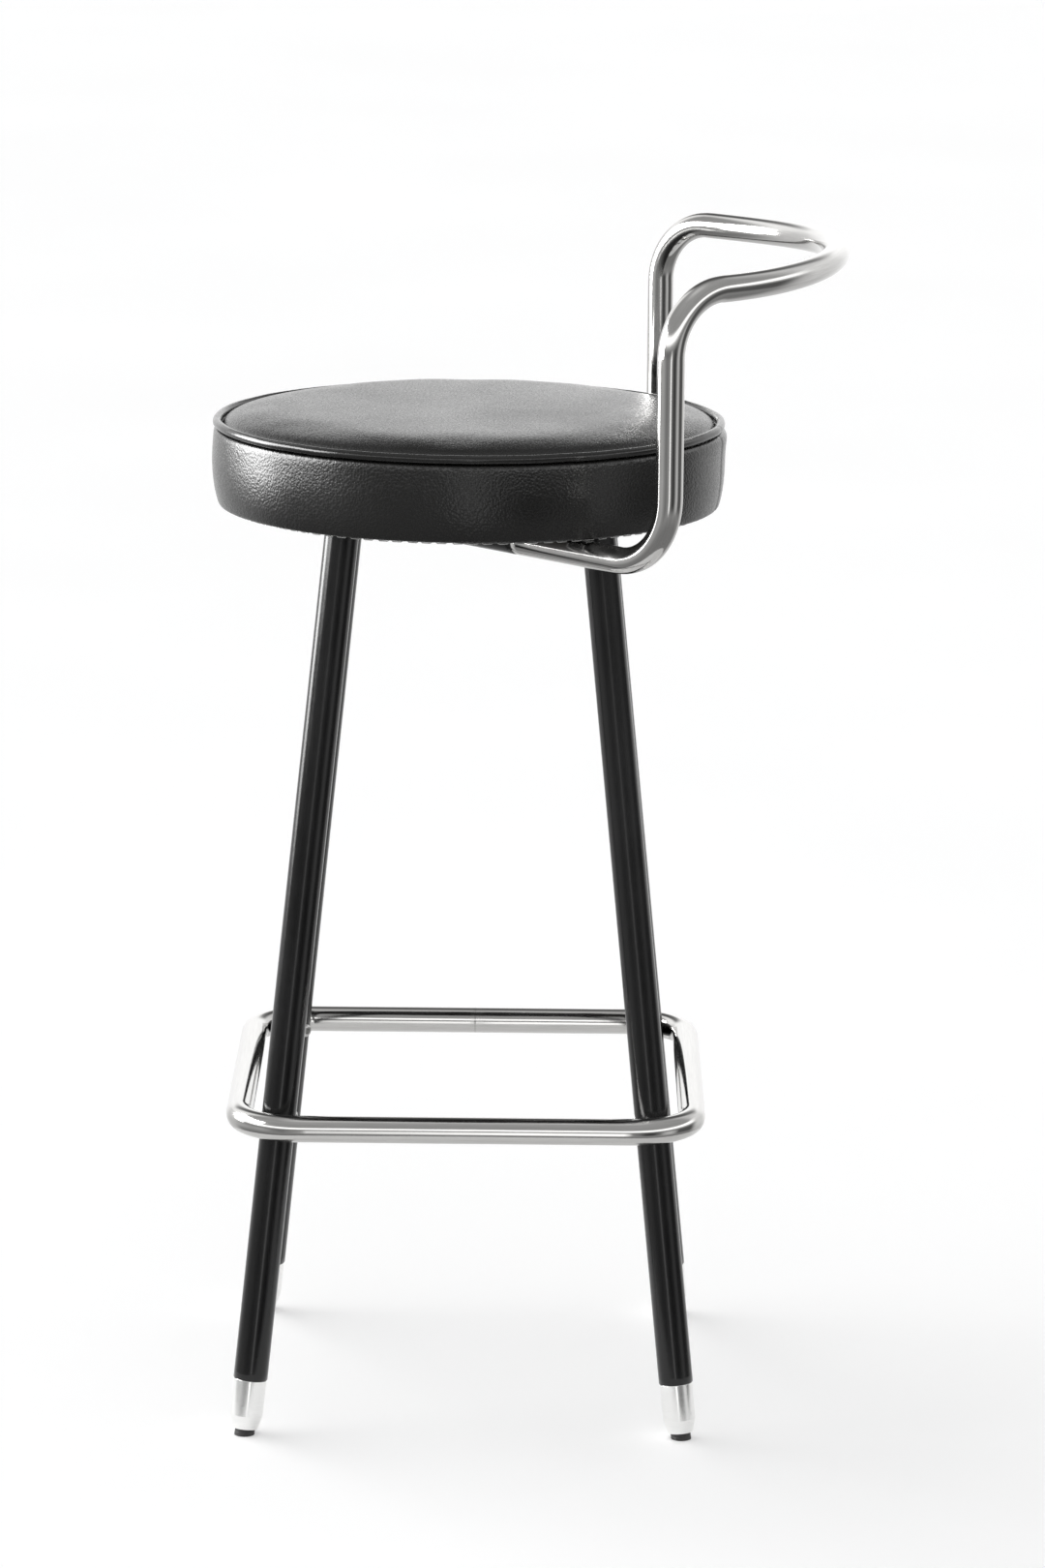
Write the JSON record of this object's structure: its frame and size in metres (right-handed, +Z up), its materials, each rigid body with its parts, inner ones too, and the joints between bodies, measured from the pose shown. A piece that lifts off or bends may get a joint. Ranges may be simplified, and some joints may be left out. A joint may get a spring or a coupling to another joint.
{
  "type": "bar stool",
  "caption": "Bar stool with a round padded leather seat, splayed tubular legs, a square footrest ring and a low tubular back hoop.",
  "frame": {"origin": "on the floor, under the middle of the stool's bounding box; the leg frame's axis is 44.45 mm in front of it, at Y = -0.04445, and the seat's axis is 2.7 mm further forward", "axes": "+Z up; the seat faces -Y and the back hoop is at +Y; +X is the sitter's left"},
  "size_m": [0.4884, 0.503, 0.9338],
  "materials": {
    "black_paint": "satin black powder coat",
    "stainless_tube": "brushed stainless tube, fine lengthwise grain",
    "ferrule_metal": "satin turned aluminium",
    "glide_rubber": "matte black",
    "leather": "smooth black leather, fine grain, soft sheen",
    "plywood": "black-stained plywood",
    "foam": "open-cell upholstery foam",
    "zinc": "zinc-plated steel fastener"
  },
  "bodies": {
    "root": {"arm_left": "black_paint", "arm_right": "black_paint", "arm_set_screw_left": "zinc", "arm_set_screw_right": "zinc", "arm_spigot_left": "zinc", "arm_spigot_right": "zinc", "back_hoop": "stainless_tube", "ferrule_front_left": "ferrule_metal", "ferrule_front_right": "ferrule_metal", "ferrule_rear_left": "ferrule_metal", "ferrule_rear_right": "ferrule_metal", "footrest_ring": "stainless_tube", "footrest_screw_front_left": "zinc", "footrest_screw_front_right": "zinc", "footrest_screw_rear_left": "zinc", "footrest_screw_rear_right": "zinc", "footrest_sleeve_front_left": "zinc", "footrest_sleeve_front_right": "zinc", "footrest_sleeve_rear_left": "zinc", "footrest_sleeve_rear_right": "zinc", "glide_front_left": "glide_rubber", "glide_front_right": "glide_rubber", "glide_rear_left": "glide_rubber", "glide_rear_right": "glide_rubber", "leg_front_left": "black_paint", "leg_front_right": "black_paint", "leg_rear_left": "black_paint", "leg_rear_right": "black_paint", "mounting_plate": "black_paint", "seat_base": "plywood", "seat_bolt_front_left": "zinc", "seat_bolt_front_right": "zinc", "seat_bolt_rear_left": "zinc", "seat_bolt_rear_right": "zinc", "seat_foam": "foam", "seat_piping": "leather", "seat_side_band": "leather", "seat_top_panel": "leather", "tee_nut_front_left": "zinc", "tee_nut_front_right": "zinc", "tee_nut_rear_left": "zinc", "tee_nut_rear_right": "zinc"}
  },
  "joints": []
}
